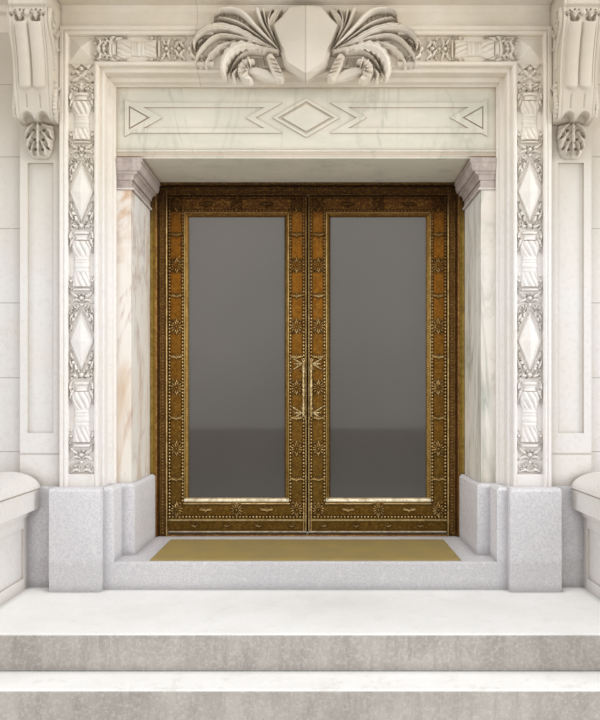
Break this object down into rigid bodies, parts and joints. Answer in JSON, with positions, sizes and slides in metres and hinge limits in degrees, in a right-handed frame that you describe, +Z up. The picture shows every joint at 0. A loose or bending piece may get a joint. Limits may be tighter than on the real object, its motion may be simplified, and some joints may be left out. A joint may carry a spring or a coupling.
{
  "type": "pair of glazed swing doors in a stone doorway",
  "caption": "Pair of glazed bronze swing doors in a deep marble doorway with carved surround, granite bases, sill, landing and step.",
  "frame": {"origin": "on the ground, below the middle of the doors' outer face", "axes": "+X to the right seen from outside, +Y into the building, +Z up"},
  "size_m": [3.956, 2.21, 4.15],
  "materials": {
    "step_stone": "satin",
    "granite": "satin",
    "marble": "satin",
    "capital_marble": "satin",
    "lintel_marble": "polished",
    "wall_stone": "satin",
    "frame_bronze": "satin",
    "leaf_bronze": "satin",
    "handle_bronze": "polished",
    "pane_glass": "polished",
    "mat_coir": "matt"
  },
  "bodies": {
    "doorway": {"lower_step": "step_stone", "landing": "step_stone", "sill": "granite", "plinth_left": "granite", "plinth_right": "granite", "reveal_plinth_left": "granite", "reveal_plinth_right": "granite", "pilaster_left": "marble", "pilaster_right": "marble", "architrave_left": "marble", "architrave_right": "marble", "architrave_head": "marble", "outer_pilaster_left": "marble", "outer_pilaster_right": "marble", "console_left": "marble", "console_right": "marble", "shield": "marble", "acanthus_left": "marble", "acanthus_right": "marble", "capital_left": "capital_marble", "capital_right": "capital_marble", "lintel": "lintel_marble", "frieze": "wall_stone", "cornice": "wall_stone", "wall_left": "wall_stone", "wall_right": "wall_stone", "cheek_wall_left": "wall_stone", "cheek_wall_right": "wall_stone", "entrance_mat": "mat_coir", "door_frame_left": "frame_bronze", "door_frame_right": "frame_bronze", "door_frame_head": "frame_bronze", "threshold": "frame_bronze"},
    "left_leaf": {"left_hinge_stile": "leaf_bronze", "left_meeting_stile": "leaf_bronze", "left_top_rail": "leaf_bronze", "left_bottom_rail": "leaf_bronze", "left_glass": "pane_glass", "left_pull": "handle_bronze"},
    "right_leaf": {"right_hinge_stile": "leaf_bronze", "right_meeting_stile": "leaf_bronze", "right_top_rail": "leaf_bronze", "right_bottom_rail": "leaf_bronze", "right_glass": "pane_glass", "right_pull": "handle_bronze"}
  },
  "joints": [
    {"name": "left_leaf_hinge", "type": "hinge", "parent": "doorway", "child": "left_leaf", "pos_m": [-1.005, 0.065, 0.53], "axis": [0, 0, 1], "range_deg": [0, 90]},
    {"name": "right_leaf_hinge", "type": "hinge", "parent": "doorway", "child": "right_leaf", "pos_m": [1.005, 0.065, 0.53], "axis": [0, 0, -1], "range_deg": [0, 90]}
  ]
}
